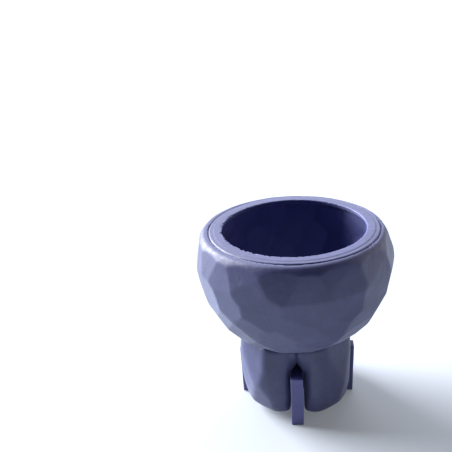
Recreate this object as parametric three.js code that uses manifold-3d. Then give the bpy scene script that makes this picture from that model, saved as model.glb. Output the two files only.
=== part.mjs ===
// A flexible casting mould for a legged, faceted plaster pot, standing ready to fill.
// The faceted bowl opens upwards. Four rounded leg pockets hang under it, and four flat
// stand fins between the pockets carry the mould. All sizes are in millimetres, +Z is up,
// and the origin is on the surface that the fins stand on, under the middle of the mouth.
import * as THREE from "three";
import { ConvexHull } from "three/addons/math/ConvexHull.js";
import { ConvexGeometry } from "three/addons/geometries/ConvexGeometry.js";
import { mergeVertices } from "three/addons/utils/BufferGeometryUtils.js";
import Module from "manifold-3d";

// ---- driving dimensions ----
const TOTAL_HEIGHT = 95; // fin feet to the top of the rim ring
const BOWL_RADIUS = 45.2; // widest outside radius
const BOWL_SHIFT = -0.7; // the bowl's outside is this far off the mouth's axis, along X
const WALL = 6.2; // rubber thickness
const GAP = 0.3; // clearance between neighbouring pieces

const MOUTH_RADIUS = 33; // pouring mouth, at the ring's top
const RING_RADIUS = 39.1; // outside of the rim ring
const RING_DEPTH = 3; // height of the rim ring
const RING_PROUD = 0.5; // ring's top above the bowl's shoulder
const LIP_STEPS = 6; // the mouth's lip curves outwards below, down to the ring's underside

const FIN_THICKNESS = 6;
const FIN_REACH = 29.3; // axis to a fin's outer edge
const FIN_HEIGHT = 28.5;
const CORE_SIDE = 7.2; // square core where the four fins meet
const LEG_END = 1.8; // leg ends stay this far above the feet

const BOWL_FLOOR = 40.9; // underside of the bowl, between the legs
const SHOULDER_DEPTH = 15; // the smooth shoulder meets the facets above this depth
const SHOULDER_STEPS = 12; // straight parts of the smooth shoulder's outline
const LEG_CORNER = 0.34; // rounding of a leg's corners, as a share of the legs' half width
const LEG_REACH = 1.1; // how far a leg reaches along its diagonal, in the same unit

const FACET_SINK = 0.35; // facet planes lie this far inside the smooth shape they follow

const MARGIN = 5; // cutting shapes stand this far proud of what they cut
const AMPLE = 60; // larger than any leg or slot
const WELD = 1e-4; // corners closer than this are one corner

// ---- outlines, as [radius, height] ----
const bowlOutline = new THREE.SplineCurve(
  [
    [0, 40.5],
    [20, 40.8],
    [26.2, 42],
    [30.3, 44.6],
    [34, 48],
    [38, 53.5],
    [43.1, 64.6],
    [BOWL_RADIUS, 77.6],
    [44.4, 86.3],
    [42.3, TOTAL_HEIGHT],
  ].map(([r, z]) => new THREE.Vector2(r, z)),
);
// The smooth shoulder, from the flat round the rim ring down to the first facets.
const shoulderOutline = new THREE.SplineCurve(
  [
    [40.4, TOTAL_HEIGHT - RING_PROUD],
    [41.3, TOTAL_HEIGHT - RING_PROUD - 0.25],
    [42.2, TOTAL_HEIGHT - 1.7],
    [43.1, TOTAL_HEIGHT - 2.9],
    [44, TOTAL_HEIGHT - 4.7],
    [45, TOTAL_HEIGHT - 8],
    [BOWL_RADIUS + 0.8, TOTAL_HEIGHT - SHOULDER_DEPTH],
  ].map(([r, z]) => new THREE.Vector2(r, z)),
);
// Half width of the four legs together, seen square on.
const legOutline = new THREE.SplineCurve(
  [
    [24.4, 45],
    [25.7, 37.7],
    [26.7, 27.7],
    [26.7, 19],
    [26.5, 13.8],
    [26, 9],
    [25, 5.6],
    [22.9, 2.6],
    [19.8, 0.8],
  ].map(([r, z]) => new THREE.Vector2(r, z)),
);

// ---- rows of facets: height, how far one may drift up or down, how many, and where the
// first one faces, in degrees from +X ----
const BOWL_ROWS = [
  { z: 90.4, drift: 0.7, count: 14, first: 241 },
  { z: 83, drift: 1.8, count: 15, first: 226 },
  { z: 72.8, drift: 2.4, count: 16, first: 230 },
  { z: 63.2, drift: 2.4, count: 15, first: 222 },
  { z: 54.6, drift: 1.8, count: 13, first: 233 },
  { z: 48.2, drift: 1.1, count: 12, first: 218 },
  { z: 44.3, drift: 0.5, count: 12, first: 3 },
  { z: 42, drift: 0.2, count: 12, first: 18 },
];
const LEG_ROWS = [
  { z: 36.3, drift: 1.3, count: 9, first: 10 },
  { z: 23.4, drift: 2.6, count: 11, first: 4 },
  { z: 9.5, drift: 1.2, count: 9, first: 22 },
  { z: 2.6, drift: 0.3, count: 12, first: 5 },
];
const DEEP_FACET = { turn: 211, z: 69.8, depth: 0.55 }; // one facet on the left is cut deeper
const FACET_SWING = 0.24; // share of the facet spacing that a facet may turn to either side

const wasm = await Module();
wasm.setup();

// ---- geometry helpers ----
const up = new THREE.Vector3(0, 0, 1);

// A repeatable number from -1 to 1 for each pair of whole numbers.
function wobble(i, j) {
  const s = Math.sin(i * 127.1 + j * 311.7) * 43758.5453;
  return 2 * (s - Math.floor(s)) - 1;
}

// Point and outward normal of an outline at height z, in the (radius, height) plane.
function outlineAt(curve, z) {
  let low = 0;
  let high = 1;
  const rising = curve.getPoint(1).y > curve.getPoint(0).y;
  for (let n = 0; n < 40; n++) {
    const middle = (low + high) / 2;
    if (curve.getPoint(middle).y < z === rising) low = middle;
    else high = middle;
  }
  const tangent = curve.getTangent(low);
  const side = rising ? 1 : -1;
  return {
    radius: curve.getPoint(low).x,
    normal: new THREE.Vector2(side * tangent.y, -side * tangent.x),
  };
}

// The plane that touches a shape at one turn about Z, in degrees, and one height. touchAt gives
// its distance from its facing, the turn in radians, the outline's radius and the height.
function facetPlane(turnDegrees, z, curve, touchAt) {
  const turn = THREE.MathUtils.degToRad(turnDegrees);
  const { radius, normal } = outlineAt(curve, z);
  const facing = new THREE.Vector3(
    normal.x * Math.cos(turn),
    normal.x * Math.sin(turn),
    normal.y,
  ).normalize();
  return { facing, distance: touchAt(facing, turn, radius, z) - FACET_SINK };
}

// Rows of such planes. Each row's first facet is exactly in place and the others stray a little.
function facetPlanes(rows, curve, touchAt, seed = 0) {
  return rows.flatMap((row, j) =>
    Array.from({ length: row.count }, (_, i) => {
      const loose = i === 0 ? 0 : 1;
      const swing = loose * FACET_SWING * wobble(i + seed, j);
      const turn = row.first + (360 / row.count) * (i + swing);
      const z = row.z + loose * row.drift * wobble(i + seed + 31, j);
      return facetPlane(turn, z, curve, touchAt);
    }),
  );
}

function touchRound(facing, turn, radius, z) {
  return facing.dot(new THREE.Vector3(radius * Math.cos(turn), radius * Math.sin(turn), z));
}

// The bowl is round, and its outside stands off the mouth's axis.
function touchBowl(facing, turn, radius, z) {
  return touchRound(facing, turn, radius, z) + facing.x * BOWL_SHIFT;
}

// A leg fills its quadrant, a square with rounded corners, and its outer corner is cut back
// so that the four legs together stay nearly round.
function touchLeg(facing, turn, halfWidth, z) {
  const rounding = LEG_CORNER * halfWidth;
  const inset = halfWidth / 2 - rounding;
  const along = (value) => halfWidth / 2 + Math.sign(value) * inset + rounding * value;
  const corner = new THREE.Vector3(along(Math.cos(turn)), along(Math.sin(turn)), z);
  return Math.min(
    facing.dot(corner),
    touchRound(facing, turn, LEG_REACH * halfWidth, z),
  );
}

const plane = (x, y, z, distance) => ({
  facing: new THREE.Vector3(x, y, z),
  distance,
});

// The convex solid inside a set of planes, moved outwards by grow. Each face of the hull
// of the planes' poles, seen from a point inside, gives one corner of the solid.
function solidInside(planes, inside, grow = 0) {
  const poles = planes.map(({ facing, distance }) =>
    facing
      .clone()
      .divideScalar(distance + grow - facing.dot(inside)),
  );
  const corners = new ConvexHull()
    .setFromPoints(poles)
    .faces.map((face) =>
      face.normal.clone().divideScalar(face.constant).add(inside),
    );
  return toSolid(new ConvexGeometry(corners));
}

function toSolid(geometry) {
  const bare = geometry.clone();
  bare.deleteAttribute("normal");
  bare.deleteAttribute("uv");
  const merged = mergeVertices(bare, WELD);
  return new wasm.Manifold(
    new wasm.Mesh({
      numProp: 3,
      vertProperties: merged.attributes.position.array,
      triVerts: new Uint32Array(merged.index.array),
    }),
  );
}

function toGeometry(solid) {
  const mesh = solid.getMesh();
  const geometry = new THREE.BufferGeometry();
  geometry.setAttribute(
    "position",
    new THREE.BufferAttribute(mesh.vertProperties, 3),
  );
  geometry.setIndex(new THREE.BufferAttribute(mesh.triVerts, 1));
  const flat = geometry.toNonIndexed();
  flat.computeVertexNormals();
  return flat;
}

// A ring or disc round Z from its outline, [radius, height] pairs in anticlockwise order.
function turned(outline, segments = 72) {
  const closed = [...outline, outline[0]].map(([r, z]) => new THREE.Vector2(r, z));
  const geometry = new THREE.LatheGeometry(closed, segments);
  geometry.rotateX(Math.PI / 2);
  return geometry;
}

function box(low, high) {
  const size = high.map((value, i) => value - low[i]);
  const geometry = new THREE.BoxGeometry(...size);
  geometry.translate(...high.map((value, i) => (value + low[i]) / 2));
  return geometry;
}

// ---- materials ----
const rubber = new THREE.MeshStandardMaterial({
  color: 0x34345e,
  roughness: 0.5,
  metalness: 0,
});
const finRubber = new THREE.MeshStandardMaterial({
  color: 0x332f6b,
  roughness: 0.45,
  metalness: 0,
});

// ---- the shapes that the pieces are cut from ----
const deepFacet = facetPlane(DEEP_FACET.turn, DEEP_FACET.z, bowlOutline, touchBowl);
deepFacet.distance -= DEEP_FACET.depth;
const bowlFacets = [
  ...facetPlanes(BOWL_ROWS, bowlOutline, touchBowl),
  deepFacet,
  plane(0, 0, -1, -BOWL_FLOOR),
];
const bowlMiddle = new THREE.Vector3(0, 0, 68);
const shoulder = TOTAL_HEIGHT - RING_PROUD;
const roundedTop = toSolid(
  turned([
    [0, BOWL_FLOOR - MARGIN],
    [BOWL_RADIUS + MARGIN, BOWL_FLOOR - MARGIN],
    [BOWL_RADIUS + MARGIN, TOTAL_HEIGHT - SHOULDER_DEPTH - MARGIN],
    ...shoulderOutline.getPoints(SHOULDER_STEPS).reverse().map(({ x, y }) => [x, y]),
    [0, shoulder],
  ]).translate(BOWL_SHIFT, 0, 0),
);
const bowlOuter = solidInside(
  [...bowlFacets, plane(0, 0, 1, shoulder + 1)],
  bowlMiddle,
).intersect(roundedTop);
const bowlOuterWithGap = solidInside(
  [...bowlFacets, plane(0, 0, 1, shoulder)],
  bowlMiddle,
  GAP,
);
const bowlCavity = solidInside(
  [...bowlFacets, plane(0, 0, 1, TOTAL_HEIGHT + MARGIN + WALL)],
  bowlMiddle,
  -WALL,
);

// Each leg has facets of its own. It is made in the quadrant between +X and +Y.
const legMiddle = new THREE.Vector3(13, 13, 22);
const legTop = BOWL_FLOOR + 12; // inside the bowl's wall, so that the cavities join
const quarterTurns = [0, 90, 180, 270];
const legs = quarterTurns.map((degrees, i) => {
  const planes = [
    ...facetPlanes(LEG_ROWS, legOutline, touchLeg, 50 * i),
    plane(0, 0, -1, -LEG_END),
  ];
  return {
    degrees,
    outer: solidInside([...planes, plane(0, 0, 1, legTop)], legMiddle),
    pocket: solidInside([...planes, plane(0, 0, 1, legTop + WALL)], legMiddle, -WALL),
  };
});
const quadrant = toSolid(box([GAP / 2, GAP / 2, -MARGIN], [AMPLE, AMPLE, AMPLE]));

const halfFin = FIN_THICKNESS / 2;
const halfCore = CORE_SIDE / 2;
const finSlot = toSolid(
  box([-halfFin - GAP, 0, -MARGIN], [halfFin + GAP, FIN_REACH + GAP, FIN_HEIGHT + GAP]),
);
const coreSlot = toSolid(
  box([-halfCore - GAP, -halfCore - GAP, -MARGIN], [halfCore + GAP, halfCore + GAP, AMPLE]),
);
const turnedBy = (solid, degrees) => solid.rotate([0, 0, degrees]);

// ---- pieces ----
function bowlShell() {
  const seatHeight = TOTAL_HEIGHT - RING_DEPTH - GAP;
  const ringSeat = toSolid(
    turned([
      [0, seatHeight],
      [RING_RADIUS + GAP, seatHeight],
      [RING_RADIUS + GAP, TOTAL_HEIGHT + MARGIN],
      [0, TOTAL_HEIGHT + MARGIN],
    ]),
  );
  let shell = bowlOuter.subtract(bowlCavity).subtract(ringSeat);
  for (const leg of legs) shell = shell.subtract(turnedBy(leg.pocket, leg.degrees));
  return toGeometry(shell);
}

function rimRing() {
  const bottom = TOTAL_HEIGHT - RING_DEPTH;
  const lip = Array.from({ length: LIP_STEPS + 1 }, (_, i) => {
    const turn = (Math.PI / 2) * (i / LIP_STEPS);
    const flare = RING_DEPTH * (1 - Math.cos(turn));
    return [MOUTH_RADIUS + flare, TOTAL_HEIGHT - RING_DEPTH * Math.sin(turn)];
  });
  return turned([...lip, [RING_RADIUS, bottom], [RING_RADIUS, TOTAL_HEIGHT]]);
}

// The bowl's facets differ all the way round, so each leg is cut where it stands.
function legPocket({ degrees, outer, pocket }) {
  const slots = finSlot.add(turnedBy(finSlot, -90)).add(coreSlot);
  const leg = outer.intersect(quadrant).subtract(pocket).subtract(slots);
  return toGeometry(turnedBy(leg, degrees).subtract(bowlOuterWithGap));
}

function standFin() {
  return box([-halfFin, halfCore + GAP, 0], [halfFin, FIN_REACH, FIN_HEIGHT]);
}

function standCore() {
  return box([-halfCore, -halfCore, LEG_END], [halfCore, halfCore, BOWL_FLOOR - GAP]);
}

// ---- assembly ----
const mould = new THREE.Group();

function piece(name, geometry, material, degrees = 0) {
  const mesh = new THREE.Mesh(geometry, material);
  mesh.name = name;
  mesh.rotateOnAxis(up, THREE.MathUtils.degToRad(degrees));
  mould.add(mesh);
}

piece("bowl_shell", bowlShell(), rubber);
piece("rim_ring", rimRing(), rubber);
piece("stand_core", standCore(), finRubber);
["rear_right", "rear_left", "front_left", "front_right"].forEach((place, i) =>
  piece("leg_pocket_" + place, legPocket(legs[i]), rubber),
);
["rear", "left", "front", "right"].forEach((place, i) =>
  piece("stand_fin_" + place, standFin(), finRubber, quarterTurns[i]),
);

export default mould;
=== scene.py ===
# A flexible casting mould for a legged, faceted pot, standing on its fins with the mouth up.
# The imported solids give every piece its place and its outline. Here each one gets the look of
# poured rubber: soft facet edges, slightly uneven faces and a dusty navy finish. All sizes are in
# metres, Z is up, -Y is the front and +X is the right.
import math
import bpy
from mathutils import Matrix, Vector, noise


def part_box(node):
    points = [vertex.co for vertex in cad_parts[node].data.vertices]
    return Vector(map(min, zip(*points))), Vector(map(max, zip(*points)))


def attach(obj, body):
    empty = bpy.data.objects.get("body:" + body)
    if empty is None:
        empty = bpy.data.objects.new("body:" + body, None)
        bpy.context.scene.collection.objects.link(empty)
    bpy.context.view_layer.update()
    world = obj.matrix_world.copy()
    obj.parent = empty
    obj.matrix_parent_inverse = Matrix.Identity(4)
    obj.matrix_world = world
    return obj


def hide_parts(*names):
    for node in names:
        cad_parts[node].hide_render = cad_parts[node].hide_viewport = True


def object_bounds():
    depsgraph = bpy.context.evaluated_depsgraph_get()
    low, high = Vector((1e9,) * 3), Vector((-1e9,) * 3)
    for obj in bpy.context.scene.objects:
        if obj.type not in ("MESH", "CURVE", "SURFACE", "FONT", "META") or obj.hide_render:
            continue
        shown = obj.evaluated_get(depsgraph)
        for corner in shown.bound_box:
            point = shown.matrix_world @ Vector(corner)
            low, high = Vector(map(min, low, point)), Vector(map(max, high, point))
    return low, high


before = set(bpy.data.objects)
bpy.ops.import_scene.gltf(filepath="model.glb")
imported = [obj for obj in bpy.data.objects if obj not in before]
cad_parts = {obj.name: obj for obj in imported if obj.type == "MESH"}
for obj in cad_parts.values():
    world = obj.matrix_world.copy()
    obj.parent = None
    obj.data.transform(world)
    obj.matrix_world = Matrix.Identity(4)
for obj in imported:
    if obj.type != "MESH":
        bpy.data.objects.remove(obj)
CAD_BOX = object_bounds()

MM = 0.001

# ---- places, from the frame ----
RING_LOW, RING_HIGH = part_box("rim_ring")
RING_RADIUS = RING_HIGH.x
RING_WIDTH = 6.1 * MM
MOUTH_RADIUS = RING_RADIUS - RING_WIDTH
FLOOR = CAD_BOX[0].z
BOWL_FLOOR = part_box("bowl_shell")[0].z
FIN_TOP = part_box("stand_fin_front")[1].z

# ---- how the rubber is cast ----
# The mesh size of each kind of piece, and how many times its edges are relaxed.
BOWL_GRAIN, BOWL_ROUNDING = 0.7 * MM, 3
LEG_GRAIN, LEG_ROUNDING = 0.6 * MM, 60
RING_GRAIN, RING_ROUNDING = 0.32 * MM, 2
FIN_GRAIN, FIN_ROUNDING = 0.4 * MM, 3
CORE_GRAIN, CORE_ROUNDING = 0.4 * MM, 2
RELAX_SHARE = 0.5
CAST_WAVES = [(9 * MM, 0.1 * MM), (2.4 * MM, 0.03 * MM)]  # unevenness, as (wavelength, height)
SEED_STEPS = (3.1, 1.7, 2.3)  # how far apart two seeds are in the noise

# ---- legs ----
LEG_RISE = 0.9 * MM  # legs reach this much further up, into the bowl's underside
RISE_HEIGHTS = (0.6, 0.95)  # they do so between these shares of BOWL_FLOOR
LEG_LEAN = 1.0 * MM  # the lobes on the left bulge this much further to the left
LEAN_HEIGHTS = (0.1, 0.6)  # the bulge sets in between these shares of BOWL_FLOOR
LEAN_SIDE = (0.5, 2)  # and between these multiples of CLEFT to the left of the axis
CLEFT = 9 * MM  # radius of the rounding at a cleft, and how far from the cleft it is filled
CLEFT_FILL = 0.9  # share of the rounding that is filled where the cleft has faded out
CLEFT_FADE = (2 * MM, 1 * MM)  # it fades from this far above the fins to this far above BOWL_FLOOR
CLEFT_OUTSIDE = (1.2, 1.6)  # the filling sets in at these multiples of CLEFT from the axis
SEAM = 1.1 * MM  # above the fins, a lobe's flat sides move this far towards its neighbours
SEAM_RISE = (0.8 * MM, 3 * MM)  # they start and finish moving this far above the fins
SEAM_REACH = 1 * MM  # what lies nearer than this to a seam is part of a flat side

# ---- rim ring ----
RING_SPREAD = 0.26 * MM  # the ring's foot closes most of the groove round it
RING_LIP = 0.55 * MM  # depth of the groove that stays open
RING_LIP_BLEND = 0.25 * MM
RING_WALL = (-1 * MM, -0.7 * MM)  # the outer wall starts between these, from RING_RADIUS
RING_STEP = 0.2 * MM  # the ring's outer part lies this much lower
RING_STEP_WIDTH = 2 * MM
RING_STEP_BLEND = 0.3 * MM
RING_TOP = (-1.5 * MM, -0.5 * MM)  # the top face fades in between these, from the ring's top
NICK = 0.42 * MM  # width of the torn nicks along the mouth's edge
NICK_DROP = 0.5  # a nick's depth, as a share of its width
NICK_SIZE = 1.5 * MM  # wavelength of the noise that places them
NICK_SHARPNESS = 0.4  # noise above this makes a full nick
NICK_START = 1.3 * MM  # nicks fade in from this far outside the mouth's radius
NICK_BLEND = 1 * MM
NICK_HEIGHT = 1.2 * MM
NICK_RIGHT = 0.25  # size of the nicks on the right, as a share of those on the left
NICK_FRONT = 0.4  # how much the front counts as the left for them
NICK_LEFT = 0.8  # they have their full size from this share of the mouth's radius

# ---- bowl ----
BOWL_BULGE = 1.1 * MM  # the bowl bulges this much further on the right
BULGE_SIDE = (0.5, 1.3)  # it sets in between these multiples of the mouth's radius
BULGE_FADE = 12 * MM  # it grows from nothing at the ring to its full size this far below

# ---- rubber colours, as linear RGB: two tones for each kind ----
SHELL_TONES = {"deep": (0.024, 0.029, 0.104), "pale": (0.034, 0.040, 0.134)}
RIM_TONES = {"deep": (0.036, 0.038, 0.120), "pale": (0.046, 0.049, 0.148)}
FIN_TONES = {"deep": (0.044, 0.043, 0.205), "pale": (0.058, 0.056, 0.245)}
DUST = (0.26, 0.28, 0.42)
# paler sharp edges: partly wear, partly a painted highlight where the bevels catch the light
EDGE_WEAR_AND_HIGHLIGHT = (0.15, 0.165, 0.33)
# painted shade: a darker, more violet colour for the band just under the ring
PAINTED_SHADE_BAND = (0.021, 0.022, 0.11)
# painted light: a paler, bluer colour for surfaces facing the axis, standing in for the light
# inside the mouth
PAINTED_CAVITY_LIGHT = (0.072, 0.078, 0.235)

# ---- rubber patterns ----
CLOUD_SIZE = 18 * MM
MOTTLE_SIZE = 3.2 * MM
SPECK_SIZE = 0.7 * MM
MOTTLE_RANGE = (0.3, 0.7)  # noise values that count as none and all of it
CLOUD_TONE = (0.35, 0.65, -0.1, 0.7)  # noise from and to, then tone from and to
MOTTLE_TONE = (*MOTTLE_RANGE, -0.2, 0.6)
HAZE_MOTTLE = (0.48, 0.72)
HAZE_CLOUDS = (0.3, 0.6)
PAINTED_SHADE_START = 5 * MM  # the painted shade band begins this far below the ring
PAINTED_SHADE_FULL = 1 * MM  # and has its full strength from this far below it upwards
PAINTED_SHADE_STRENGTH = 0.75
EDGE_RANGE = (0.505, 0.56)  # pointiness where the pale edge (part wear, part painted highlight) starts and where it is full
FACING_RANGE = (-0.3, 0.1)
ROUGHNESS_DROP, ROUGHNESS_RISE = 0.07, 0.1  # the mottle varies the roughness this far

# A mix node's sockets for colours, by number, because its other kinds use the same names.
MIX_SHARE, MIX_FIRST, MIX_SECOND, MIX_RESULT = 0, 6, 7, 2

# ---- studio ----
GROUND_RADIUS = 8
GROUND_SIDES = 96
GROUND_COLOUR = (0.43, 0.455, 0.5, 1)
GROUND_GLOW = (0.86, 0.93, 1, 1)
GROUND_GLOW_STRENGTH = 0.16
ROOM_COLOUR = (0.94, 0.97, 1, 1)
ROOM_LIGHT = 0.04
ROOM_SEEN = 1.1  # the room's brightness where the camera sees it

# ---- camera ----
SENSOR_WIDTH = 36  # millimetres, as is the lens
LENS = 42.6
SHIFT_X, SHIFT_Y = -0.093, 0.124
CAMERA_PLACE = (0.0033, -0.228, 0.1907)
TURN_RIGHT, LOOK_DOWN, ROLL = -4.15, 28.75, -3.0  # degrees


# ---- mesh helpers ----
def new_piece(name, mesh):
    piece = bpy.data.objects.new(name, mesh)
    bpy.context.scene.collection.objects.link(piece)
    return piece


def settle(piece):
    """Applies the piece's modifiers to its mesh."""
    graph = bpy.context.evaluated_depsgraph_get()
    mesh = bpy.data.meshes.new_from_object(piece.evaluated_get(graph))
    piece.modifiers.clear()
    piece.data = mesh


def uneven(piece, seed, waves):
    """Moves each point along its normal by seeded noise. waves holds (wavelength, height) pairs."""
    mesh = piece.data
    shift = Vector([seed * step for step in SEED_STEPS])
    moved = []
    for vertex in mesh.vertices:
        height = sum(
            size * noise.noise(vertex.co / length + shift) for length, size in waves
        )
        moved.append(vertex.co + vertex.normal * height)
    for vertex, place in zip(mesh.vertices, moved):
        vertex.co = place
    mesh.update()


def reshape(piece, move):
    """Moves each point of the mesh to the place that move gives for it."""
    for vertex in piece.data.vertices:
        vertex.co = move(vertex.co)
    piece.data.update()


def ramp(value, low, high):
    """0 below low, 1 above high, and a smooth rise between them."""
    share = min(max((value - low) / (high - low), 0), 1)
    return share * share * (3 - 2 * share)


def ramp_between(value, multiples, unit):
    """The same between two multiples of a unit."""
    low, high = multiples
    return ramp(value, low * unit, high * unit)


def smooth_shaded(piece):
    for polygon in piece.data.polygons:
        polygon.use_smooth = True
    piece.data.update()


def cast_skin(name, cad_node, grain, rounding, seed, move=None):
    """The node's solid as poured rubber: remeshed at the grain size, with its edges rounded.

    move, where there is one, gives each point's new place between those two steps.
    """
    piece = new_piece(name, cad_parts[cad_node].data.copy())
    remesh = piece.modifiers.new("fine mesh", "REMESH")
    remesh.mode = "VOXEL"
    remesh.voxel_size = grain
    settle(piece)
    if move:
        reshape(piece, move)
    relax = piece.modifiers.new("soft edges", "SMOOTH")
    relax.factor = RELAX_SHARE
    relax.iterations = rounding
    settle(piece)
    uneven(piece, seed, CAST_WAVES)
    smooth_shaded(piece)
    return piece


# ---- material helpers ----
def material(name):
    made = bpy.data.materials.new(name)
    made.use_nodes = True
    return made, made.node_tree


def feed(tree, socket, value):
    """Links the socket to value if that comes from a node, and otherwise sets it to value."""
    if isinstance(value, bpy.types.NodeSocket):
        tree.links.new(value, socket)
    else:
        socket.default_value = value


def node(tree, kind, settings=(), **inputs):
    """Adds a node, sets its properties, and sets or links its inputs by name."""
    made = tree.nodes.new(kind)
    for key, value in dict(settings).items():
        setattr(made, key, value)
    for key, value in inputs.items():
        feed(tree, made.inputs[key.replace("_", " ")], value)
    return made


def calculate(tree, kind, operation, *values):
    """Adds a math node of that kind and feeds its inputs in order."""
    made = node(tree, kind, {"operation": operation})
    for socket, value in zip(made.inputs, values):
        feed(tree, socket, value)
    return made


def multiply(tree, first, second):
    return calculate(tree, "ShaderNodeMath", "MULTIPLY", first, second).outputs[0]


def noise_at(tree, place, wavelength, detail, roughness=0.55):
    made = node(
        tree,
        "ShaderNodeTexNoise",
        Vector=place,
        Scale=1 / wavelength,
        Detail=detail,
        Roughness=roughness,
    )
    return made.outputs["Fac"]


def spread(tree, value, low, high, to_low=0.0, to_high=1.0):
    """Maps low..high to to_low..to_high. What lies past either end stays at that end."""
    made = node(
        tree,
        "ShaderNodeMapRange",
        Value=value,
        From_Min=low,
        From_Max=high,
        To_Min=to_low,
        To_Max=to_high,
    )
    return made.outputs["Result"]


def blend_colours(tree, share, first, second):
    """The first colour where share is 0, the second where it is 1."""
    made = node(tree, "ShaderNodeMix", {"data_type": "RGBA"})
    feed(tree, made.inputs[MIX_SHARE], share)
    for index, colour in ((MIX_FIRST, first), (MIX_SECOND, second)):
        linked = isinstance(colour, bpy.types.NodeSocket)
        feed(tree, made.inputs[index], colour if linked else (*colour, 1))
    return made.outputs[MIX_RESULT]


def outward(tree):
    """1 where the surface faces away from the Z axis, 0 where it faces the axis.

    It is 0.75 where the surface faces straight up or down.
    """
    geometry = tree.nodes.new("ShaderNodeNewGeometry")
    level = calculate(
        tree, "ShaderNodeVectorMath", "MULTIPLY", geometry.outputs["Position"], (1, 1, 0)
    )
    away = calculate(tree, "ShaderNodeVectorMath", "NORMALIZE", level.outputs[0])
    facing = calculate(
        tree,
        "ShaderNodeVectorMath",
        "DOT_PRODUCT",
        away.outputs[0],
        geometry.outputs["Normal"],
    )
    return spread(tree, facing.outputs["Value"], *FACING_RANGE)


# ---- rubber ----
def rubber_tone(tree, clouds, mottle):
    """How pale the rubber is, from 0 to 1 and a little past either."""
    return calculate(
        tree,
        "ShaderNodeMath",
        "ADD",
        spread(tree, clouds, *CLOUD_TONE),
        spread(tree, mottle, *MOTTLE_TONE),
    ).outputs[0]


def rubber_relief(tree, mottle, specks):
    """Soft lumps with a fine grain on them, as a normal."""
    lumps = node(
        tree, "ShaderNodeBump", Strength=0.4, Distance=0.45 * MM, Height=mottle
    ).outputs["Normal"]
    return node(
        tree, "ShaderNodeBump", Strength=0.3, Distance=0.1 * MM, Height=specks, Normal=lumps
    ).outputs["Normal"]


def with_painted_shade_band(tree, place, colour):
    """Painted shade: a darker, more violet band on the shell just under the ring."""
    height = node(tree, "ShaderNodeSeparateXYZ", Vector=place).outputs["Z"]
    below = spread(
        tree, height, RING_LOW.z - PAINTED_SHADE_START, RING_LOW.z - PAINTED_SHADE_FULL, 0, PAINTED_SHADE_STRENGTH
    )
    return blend_colours(tree, below, colour, PAINTED_SHADE_BAND)


def rubber(name, tones, dust=0.08, edge_wear_and_highlight=0.3, roughness=0.56, painted_shade_band=False):
    """Navy rubber: two tones in soft clouds, hazy patches, paler edges (part wear, part painted
    highlight) and a fine grain.
    """
    made, tree = material(name)
    shader = tree.nodes["Principled BSDF"]
    place = tree.nodes.new("ShaderNodeTexCoord").outputs["Object"]
    clouds = noise_at(tree, place, CLOUD_SIZE, detail=3)
    mottle = noise_at(tree, place, MOTTLE_SIZE, detail=6, roughness=0.65)
    specks = noise_at(tree, place, SPECK_SIZE, detail=3)

    colour = blend_colours(tree, rubber_tone(tree, clouds, mottle), tones["deep"], tones["pale"])
    haze = multiply(
        tree, spread(tree, mottle, *HAZE_MOTTLE), spread(tree, clouds, *HAZE_CLOUDS)
    )
    colour = blend_colours(tree, multiply(tree, haze, dust), colour, DUST)
    # painted shade: the shell goes darker and more violet just under the ring
    if painted_shade_band:
        colour = with_painted_shade_band(tree, place, colour)
    # sharp edges go paler: partly wear, partly painted highlight
    bend = tree.nodes.new("ShaderNodeNewGeometry").outputs["Pointiness"]
    edges = spread(tree, bend, *EDGE_RANGE, 0, edge_wear_and_highlight)
    colour = blend_colours(tree, edges, colour, EDGE_WEAR_AND_HIGHLIGHT)
    # painted light: surfaces facing the axis take the paler, bluer cavity colour instead of the
    # rubber's own
    colour = blend_colours(tree, outward(tree), PAINTED_CAVITY_LIGHT, colour)

    matness = spread(
        tree, mottle, *MOTTLE_RANGE, roughness - ROUGHNESS_DROP, roughness + ROUGHNESS_RISE
    )
    feed(tree, shader.inputs["Base Color"], colour)
    feed(tree, shader.inputs["Roughness"], matness)
    feed(tree, shader.inputs["Normal"], rubber_relief(tree, mottle, specks))
    shader.inputs["IOR"].default_value = 1.5
    shader.inputs["Specular IOR Level"].default_value = 0.75
    shader.inputs["Sheen Weight"].default_value = 0.27
    shader.inputs["Sheen Roughness"].default_value = 0.4
    shader.inputs["Sheen Tint"].default_value = (0.8, 0.85, 1, 1)
    return made


SHELL = rubber("shell rubber", SHELL_TONES, painted_shade_band=True)
RIM = rubber("rim rubber", RIM_TONES)
FIN = rubber("fin rubber", FIN_TONES, dust=0.06, roughness=0.5)


# ---- shapes of the pieces ----
def cleft_fill(across, along, height):
    """How far a point near a cleft moves out along it. The clefts fade out above the fins."""
    fade_start, fade_end = CLEFT_FADE
    filled = CLEFT_FILL * ramp(height, FIN_TOP + fade_start, BOWL_FLOOR + fade_end)
    beside = max(CLEFT - abs(across), 0)
    depth = CLEFT - math.sqrt(max(CLEFT**2 - beside**2, 0))
    outside = ramp_between(abs(along), CLEFT_OUTSIDE, CLEFT)
    return math.copysign(filled * depth * outside, along)


def leg_shape(place):
    """Closes the seams above the fins, leans the left lobes out and lifts the leg's top."""
    x, y, z = place
    start, end = SEAM_RISE
    closer = SEAM * ramp(z, FIN_TOP + start, FIN_TOP + end)
    middle = ramp_between(z, LEAN_HEIGHTS, BOWL_FLOOR)
    lean = -LEG_LEAN * middle * ramp_between(-x, LEAN_SIDE, CLEFT)
    rise = LEG_RISE * ramp_between(z, RISE_HEIGHTS, BOWL_FLOOR)
    seam_x = -math.copysign(closer, x) if abs(x) < SEAM_REACH else 0
    seam_y = -math.copysign(closer, y) if abs(y) < SEAM_REACH else 0
    return Vector(
        (
            x + seam_x + lean + cleft_fill(y, x, z),
            y + seam_y + cleft_fill(x, y, z),
            z + rise,
        )
    )


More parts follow.
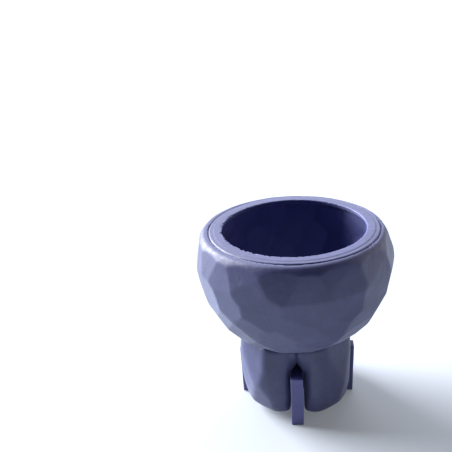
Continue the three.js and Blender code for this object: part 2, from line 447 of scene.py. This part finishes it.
def ring_shape(place):
    """Widens the ring's outer wall below its lip, and sinks a shallow step round its top."""
    radius = math.hypot(place.x, place.y)
    inset = RING_RADIUS - radius
    depth = RING_HIGH.z - place.z
    wider = RING_SPREAD * ramp(depth, RING_LIP - RING_LIP_BLEND, RING_LIP + RING_LIP_BLEND)
    wider *= ramp(-inset, *RING_WALL)
    top = ramp(-depth, *RING_TOP)
    sunk = RING_STEP * top * ramp(-inset, -RING_STEP_WIDTH - RING_STEP_BLEND, -RING_STEP_WIDTH)
    reach = (radius + wider) / radius
    return Vector((place.x * reach, place.y * reach, place.z - sunk))


def nicked(place):
    """Small torn nicks along the mouth's edge, mostly on its left."""
    radius = math.hypot(place.x, place.y)
    depth = RING_HIGH.z - place.z
    at_edge = ramp(MOUTH_RADIUS + NICK_START - radius, 0, NICK_BLEND)
    at_edge *= ramp(-depth, -NICK_HEIGHT, 0)
    torn = ramp(noise.noise(place / NICK_SIZE), 0, NICK_SHARPNESS)
    left = ramp(-place.x - NICK_FRONT * place.y, 0, NICK_LEFT * MOUTH_RADIUS)
    side = NICK_RIGHT + (1 - NICK_RIGHT) * left
    wider = radius + NICK * at_edge * torn * side
    drop = NICK_DROP * NICK * at_edge * torn * side
    return Vector((place.x * wider / radius, place.y * wider / radius, place.z - drop))


def bowl_shape(place):
    """The bowl bulges a little further on the right."""
    x, y, z = place
    bulge = ramp_between(x, BULGE_SIDE, MOUTH_RADIUS) * ramp(RING_LOW.z - z, 0, BULGE_FADE)
    return Vector((x + BOWL_BULGE * bulge, y, z))


# ---- pieces ----
def finish_as(piece, look):
    piece.data.materials.clear()
    piece.data.materials.append(look)
    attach(piece, "root")


def bowl():
    piece = cast_skin(
        "bowl_shell_skin", "bowl_shell", BOWL_GRAIN, BOWL_ROUNDING, seed=1, move=bowl_shape
    )
    finish_as(piece, SHELL)
    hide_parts("bowl_shell")


def leg_pockets():
    places = ["rear_right", "rear_left", "front_left", "front_right"]
    for seed, place in enumerate(places, start=2):
        cad_node = "leg_pocket_" + place
        piece = cast_skin(
            cad_node + "_skin", cad_node, LEG_GRAIN, LEG_ROUNDING, seed, move=leg_shape
        )
        finish_as(piece, SHELL)
        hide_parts(cad_node)


def rim_ring():
    piece = cast_skin("rim_ring_skin", "rim_ring", RING_GRAIN, RING_ROUNDING, seed=7)
    reshape(piece, ring_shape)
    reshape(piece, nicked)
    finish_as(piece, RIM)
    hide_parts("rim_ring")


def fins():
    for seed, place in enumerate(["rear", "left", "front", "right"], start=8):
        cad_node = "stand_fin_" + place
        piece = cast_skin(cad_node + "_skin", cad_node, FIN_GRAIN, FIN_ROUNDING, seed)
        finish_as(piece, FIN)
        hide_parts(cad_node)


def core():
    piece = cast_skin("stand_core_skin", "stand_core", CORE_GRAIN, CORE_ROUNDING, seed=12)
    finish_as(piece, FIN)
    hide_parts("stand_core")


# ---- studio ----
def floor():
    bpy.ops.mesh.primitive_circle_add(
        vertices=GROUND_SIDES, radius=GROUND_RADIUS, fill_type="NGON", location=(0, 0, FLOOR)
    )
    ground = bpy.context.object
    ground.name = "floor"
    made, tree = material("pale floor")
    shader = tree.nodes["Principled BSDF"]
    shader.inputs["Base Color"].default_value = GROUND_COLOUR
    shader.inputs["Roughness"].default_value = 0.9
    shader.inputs["Emission Color"].default_value = GROUND_GLOW
    shader.inputs["Emission Strength"].default_value = GROUND_GLOW_STRENGTH
    ground.data.materials.append(made)


def room():
    """A dim room, which looks white only where the camera sees it past the floor's edge."""
    world = bpy.data.worlds.new("studio")
    bpy.context.scene.world = world
    world.use_nodes = True
    tree = world.node_tree
    background = tree.nodes["Background"]
    background.inputs["Color"].default_value = ROOM_COLOUR
    seen = tree.nodes.new("ShaderNodeLightPath").outputs["Is Camera Ray"]
    feed(tree, background.inputs["Strength"], spread(tree, seen, 0, 1, ROOM_LIGHT, ROOM_SEEN))


def sun(name, azimuth, height, softness, strength, colour):
    """A soft sun. Azimuth 0 is in front of the object and 90 on its left; angles in degrees."""
    light = bpy.data.lights.new(name, "SUN")
    light.angle = math.radians(softness)
    light.energy = strength
    light.color = colour
    lamp = bpy.data.objects.new(name, light)
    turn, rise = math.radians(azimuth), math.radians(height)
    away = Vector(
        (-math.sin(turn) * math.cos(rise), -math.cos(turn) * math.cos(rise), math.sin(rise))
    )
    lamp.rotation_euler = away.to_track_quat("Z", "Y").to_euler()
    bpy.context.scene.collection.objects.link(lamp)


def lights():
    sun("window", azimuth=117, height=25, softness=40, strength=12, colour=(0.95, 0.98, 1.02))
    sun("overhead", azimuth=178, height=50, softness=50, strength=1.8, colour=(0.93, 0.97, 1.06))
    sun("right fill", azimuth=-112, height=15, softness=50, strength=0.95, colour=(1, 0.92, 0.9))


def camera():
    data = bpy.data.cameras.new("camera")
    data.sensor_width = SENSOR_WIDTH
    data.lens = LENS
    data.shift_x = SHIFT_X
    data.shift_y = SHIFT_Y
    eye = bpy.data.objects.new("camera", data)
    bpy.context.scene.collection.objects.link(eye)
    turn = Matrix.Rotation(math.radians(-TURN_RIGHT), 4, "Z")
    tilt = Matrix.Rotation(math.radians(90 - LOOK_DOWN), 4, "X")
    aim = turn @ tilt
    roll = Matrix.Rotation(math.radians(ROLL), 4, "Z")
    eye.matrix_world = Matrix.Translation(CAMERA_PLACE) @ aim @ roll
    bpy.context.scene.camera = eye


camera()
bowl()
leg_pockets()
rim_ring()
fins()
core()
floor()
room()
lights()
bpy.context.scene.view_settings.view_transform = "Standard"
